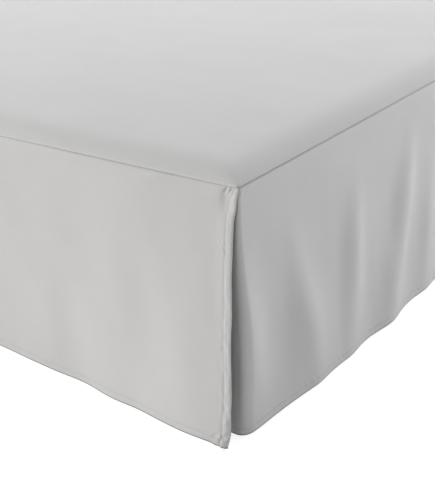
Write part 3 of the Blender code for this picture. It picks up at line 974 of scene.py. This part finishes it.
def weave_group():
    """Plain weave on flat places in metres: the threads' height, and the uneven tone of thicker threads."""
    group, entry, leave = shader_group(
        "plain_weave",
        [("Place", "NodeSocketVector", None), ("Pitch", "NodeSocketFloat", 0.001)],
        ["Height", "Slubs"],
    )
    place = entry.outputs["Place"]
    split = put(group, "ShaderNodeSeparateXYZ", [(0, place)])
    turns = reckon(group, "DIVIDE", 2 * math.pi, entry.outputs["Pitch"])
    warp_turn = reckon(group, "MULTIPLY", split.outputs[0], turns)
    weft_turn = reckon(group, "MULTIPLY", split.outputs[1], turns)
    threads = reckon(group, "ADD", reckon(group, "COSINE", warp_turn), reckon(group, "COSINE", weft_turn))
    half_warp = reckon(group, "SINE", reckon(group, "MULTIPLY", warp_turn, 0.5))
    half_weft = reckon(group, "SINE", reckon(group, "MULTIPLY", weft_turn, 0.5))
    crossings = reckon(group, "MULTIPLY", half_warp, half_weft)
    rough = []
    for stretch in ((*SLUB_STRETCH, 1.0), (*SLUB_STRETCH[::-1], 1.0)):
        threadwise = put(group, "ShaderNodeVectorMath", [(0, place), (1, stretch)], operation="MULTIPLY")
        rough.append(noise(group, threadwise.outputs[0], 1.0, 2.0))
    slubs = reckon(group, "MULTIPLY", reckon(group, "ADD", rough[0], rough[1]), 0.5)
    height = reckon(group, "MULTIPLY", crossings, CROSSING_SHARE)
    height = reckon(group, "MULTIPLY_ADD", threads, THREAD_SHARE, height)
    group.links.new(reckon(group, "ADD", height, slubs), leave.inputs["Height"])
    group.links.new(slubs, leave.inputs["Slubs"])
    return group


def mottle_group():
    """Soft uneven tone, from 0 to 1, with large soft patches and smaller ones over them."""
    group, entry, leave = shader_group(
        "soft_mottle",
        [
            ("Place", "NodeSocketVector", None),
            ("Patches", "NodeSocketFloat", 6.0),
            ("Small Share", "NodeSocketFloat", 0.3),
        ],
        ["Tone"],
    )
    place, patches = entry.outputs["Place"], entry.outputs["Patches"]
    large = noise(group, place, patches, 2.0)
    small = noise(group, place, reckon(group, "MULTIPLY", patches, 7.0), 3.0)
    mixed = put(group, "ShaderNodeMix", [(0, entry.outputs["Small Share"]), (2, large), (3, small)])
    group.links.new(mixed.outputs[0], leave.inputs["Tone"])
    return group


def painted_hem_shade_group():
    """How much painted shade a panel has at a flat place, from 0 to 1: along its hem's fold, its stitching
    and its seam.
    """
    group, entry, leave = shader_group(
        "painted_hem_shade",
        [("Place", "NodeSocketVector", None), ("Bottom", "NodeSocketFloat", 1.0)],
        ["Shade"],
    )
    down = put(group, "ShaderNodeSeparateXYZ", [(0, entry.outputs["Place"])]).outputs[1]
    height = reckon(group, "SUBTRACT", entry.outputs["Bottom"], down)
    from_stitches = reckon(group, "ABSOLUTE", reckon(group, "SUBTRACT", height, HEM))
    # Painted shade: darker at the hem's folded edge, along the line of stitching and along the seam
    fold = fading(group, height, HEM_EDGE_WIDTH, 1.0)
    stitched = fading(group, from_stitches, STITCH_SHADE_WIDTH, STITCH_SHADE)
    seam = fading(group, down, SEAM_SHADE_WIDTH, SEAM_SHADE)
    hem = reckon(group, "MAXIMUM", fold, stitched)
    group.links.new(reckon(group, "MAXIMUM", hem, seam), leave.inputs["Shade"])
    return group


def new_finish(name, inputs=()):
    """A material, its nodes and its Principled shader with these values."""
    made = bpy.data.materials.new(name)
    made.use_nodes = True
    shader = made.node_tree.nodes["Principled BSDF"]
    for socket, value in inputs:
        shader.inputs[socket].default_value = value
    return made, made.node_tree, shader


def toned(tree, tone, tones):
    """A colour between a dark and a light one."""
    dark, light = tones
    return put(tree, "ShaderNodeMix", [(0, tone), (6, dark), (7, light)], data_type="RGBA").outputs[2]


def woven_finish(name, look, weave, mottle):
    """Woven cloth on the piece's own flat places: thread relief, slubs and soft patches of tone."""
    pitch, tones, slub_share, relief, sheen = look
    made, tree, shader = new_finish(
        name, [("Roughness", 0.85), ("Sheen Weight", sheen), ("Specular IOR Level", 0.3)],
    )
    place = put(tree, "ShaderNodeUVMap", uv_map="cloth").outputs["UV"]
    threads = put(tree, "ShaderNodeGroup", [("Place", place), ("Pitch", pitch)], node_tree=weave)
    patches = put(tree, "ShaderNodeGroup", [("Place", place)], node_tree=mottle)
    tone = put(tree, "ShaderNodeMix", [
        (0, slub_share), (2, patches.outputs["Tone"]), (3, threads.outputs["Slubs"]),
    ])
    tree.links.new(toned(tree, tone.outputs[0], tones), shader.inputs["Base Color"])
    bump = put(tree, "ShaderNodeBump", [
        ("Strength", 1.0), ("Distance", relief), ("Height", threads.outputs["Height"]),
    ])
    tree.links.new(bump.outputs[0], shader.inputs["Normal"])
    return made


def panel_finish(cloth, painted_hem_shade):
    """The skirt's cloth with painted shade along a panel's hem, stitching and seam."""
    made = cloth.copy()
    made.name = "panel_cloth_finish"
    tree = made.node_tree
    shader = tree.nodes["Principled BSDF"]
    plain = shader.inputs["Base Color"].links[0].from_socket
    place = put(tree, "ShaderNodeUVMap", uv_map="cloth").outputs["UV"]
    # Painted shade along the hem's fold, the stitching and the seam, mixed into the cloth's colour towards
    # HEM_DARK
    hem = put(tree, "ShaderNodeGroup", [("Place", place), ("Bottom", DROP)], node_tree=painted_hem_shade)
    share = reckon(tree, "MULTIPLY", hem.outputs["Shade"], HEM_DARKENING)
    tree.links.new(toned(tree, share, (plain, HEM_DARK)), shader.inputs["Base Color"])
    return made


def thread_finish(mottle):
    made, tree, shader = new_finish("sewing_thread_finish", [("Roughness", 0.6)])
    place = put(tree, "ShaderNodeTexCoord").outputs["Object"]
    patches = put(tree, "ShaderNodeGroup", [("Place", place), ("Patches", 90.0)], node_tree=mottle)
    tree.links.new(toned(tree, patches.outputs["Tone"], THREAD_TONES), shader.inputs["Base Color"])
    return made


def wood_finish(mottle):
    """Satin-varnished brown wood, its grain running down the leg."""
    made, tree, shader = new_finish("leg_wood_finish")
    place = put(tree, "ShaderNodeTexCoord").outputs["Object"]
    grain = put(tree, "ShaderNodeMapping", [("Vector", place), ("Scale", GRAIN_STRETCH)]).outputs[0]
    rings = put(tree, "ShaderNodeTexWave", [
        ("Vector", grain), ("Scale", 1.6), ("Distortion", 7.0), ("Detail", 3.0), ("Detail Scale", 1.4),
    ], wave_type="RINGS", rings_direction="Z")
    pores = put(tree, "ShaderNodeMapping", [("Vector", place), ("Scale", PORE_STRETCH)]).outputs[0]
    fine = noise(tree, pores, 1.0, 3.0)
    patches = put(tree, "ShaderNodeGroup", [("Place", place), ("Patches", 14.0)], node_tree=mottle)
    streaks = put(tree, "ShaderNodeMix", [(0, 0.35), (2, rings.outputs["Fac"]), (3, fine)]).outputs[0]
    tone = put(tree, "ShaderNodeMix", [(0, 0.35), (2, streaks), (3, patches.outputs["Tone"])])
    tree.links.new(toned(tree, tone.outputs[0], WOOD_TONES), shader.inputs["Base Color"])
    tree.links.new(reckon(tree, "MULTIPLY_ADD", fine, 0.18, 0.34), shader.inputs["Roughness"])
    bump = put(tree, "ShaderNodeBump", [("Strength", 0.6), ("Distance", WOOD_RELIEF), ("Height", streaks)])
    tree.links.new(bump.outputs[0], shader.inputs["Normal"])
    return made


# Camera, floor and light

def make_camera():
    corner = Vector((HALF_WIDTH, FOOT_SEAM, 0.0))
    back = Vector((
        math.sin(CAMERA_AZIMUTH) * math.cos(CAMERA_ELEVATION),
        -math.cos(CAMERA_AZIMUTH) * math.cos(CAMERA_ELEVATION),
        math.sin(CAMERA_ELEVATION),
    ))
    level_right = Vector((math.cos(CAMERA_AZIMUTH), math.sin(CAMERA_AZIMUTH), 0.0))
    level_up = level_right.cross(-back)
    right = level_right * math.cos(CAMERA_ROLL) + level_up * math.sin(CAMERA_ROLL)
    up = level_up * math.cos(CAMERA_ROLL) - level_right * math.sin(CAMERA_ROLL)
    lens = bpy.data.cameras.new("photo_camera")
    lens.sensor_width = SENSOR
    lens.lens = SENSOR * FOCAL_PIXELS / IMAGE_HEIGHT
    camera = bpy.data.objects.new("photo_camera", lens)
    link(camera)
    place = corner + CAMERA_FROM_CORNER
    camera.matrix_world = Matrix((
        (right.x, up.x, back.x, place.x),
        (right.y, up.y, back.y, place.y),
        (right.z, up.z, back.z, CAMERA_HEIGHT),
        (0, 0, 0, 1),
    ))
    bpy.context.scene.camera = camera


def make_floor():
    """A wide white floor, which glows a little so that it stays pale beside the hems."""
    bpy.ops.object.select_all(action="DESELECT")
    bpy.ops.mesh.primitive_plane_add(size=60.0, location=(0, 0, 0))
    floor = bpy.context.active_object
    floor.name = "floor"
    made, tree, shader = new_finish("pale_floor", [
        ("Base Color", FLOOR_PALE), ("Roughness", 0.9), ("Specular IOR Level", 0.0),
        ("Emission Color", WHITE),
    ])
    seen = put(tree, "ShaderNodeLightPath").outputs["Is Camera Ray"]
    glow = reckon(tree, "MULTIPLY_ADD", seen, FLOOR_SEEN_GLOW, FLOOR_GLOW)
    tree.links.new(glow, shader.inputs["Emission Strength"])
    floor.data.materials.append(made)


def make_world():
    """A white surround that gives only a little light of its own."""
    world = bpy.data.worlds.new("studio")
    bpy.context.scene.world = world
    world.use_nodes = True
    tree = world.node_tree
    dim = tree.nodes["Background"]
    dim.inputs["Color"].default_value = WHITE
    dim.inputs["Strength"].default_value = SURROUND_LIGHT
    bright = put(tree, "ShaderNodeBackground", [("Color", WHITE)])
    seen = put(tree, "ShaderNodeLightPath").outputs["Is Camera Ray"]
    chosen = put(tree, "ShaderNodeMixShader", [(0, seen), (1, dim.outputs[0]), (2, bright.outputs[0])])
    tree.links.new(chosen.outputs[0], tree.nodes["World Output"].inputs["Surface"])


def make_studio():
    """The floor, the surround and the soft boxes round the bed."""
    make_floor()
    make_world()
    for name, place, target, size, watts, tint in SOFT_BOXES:
        light = bpy.data.lights.new(name, "AREA")
        light.shape = "SQUARE"
        light.size = size
        light.energy = watts
        light.color = tint
        box = bpy.data.objects.new(name, light)
        link(box)
        box.visible_camera = False
        box.location = place
        box.rotation_mode = "QUATERNION"
        box.rotation_quaternion = (Vector(target) - Vector(place)).to_track_quat("-Z", "Y")
    bpy.context.scene.view_settings.view_transform = "Standard"


make_camera()
make_studio()

weave = weave_group()
mottle = mottle_group()
skirt_cloth = woven_finish("skirt_cloth_finish", SKIRT_WEAVE, weave, mottle)
base_ticking = woven_finish("base_ticking_finish", TICKING_WEAVE, weave, mottle)
panel_cloth = panel_finish(skirt_cloth, painted_hem_shade_group())
thread = thread_finish(mottle)

bed_base = make_bed_base(base_ticking)
make_legs(wood_finish(mottle))
deck = make_deck(skirt_cloth)
deck_thread = deck_stitches(thread)
foot_panel = make_foot_panel(panel_cloth)
foot_thread = foot_stitches(thread)
thread_tail = make_thread_tail(thread)

for node, side, folds, creases, seed in SIDE_PANELS:
    side_panel = make_side_panel(node, side, folds, creases, seed, panel_cloth)
    side_thread = side_stitches(node, side, folds, creases, seed, thread)
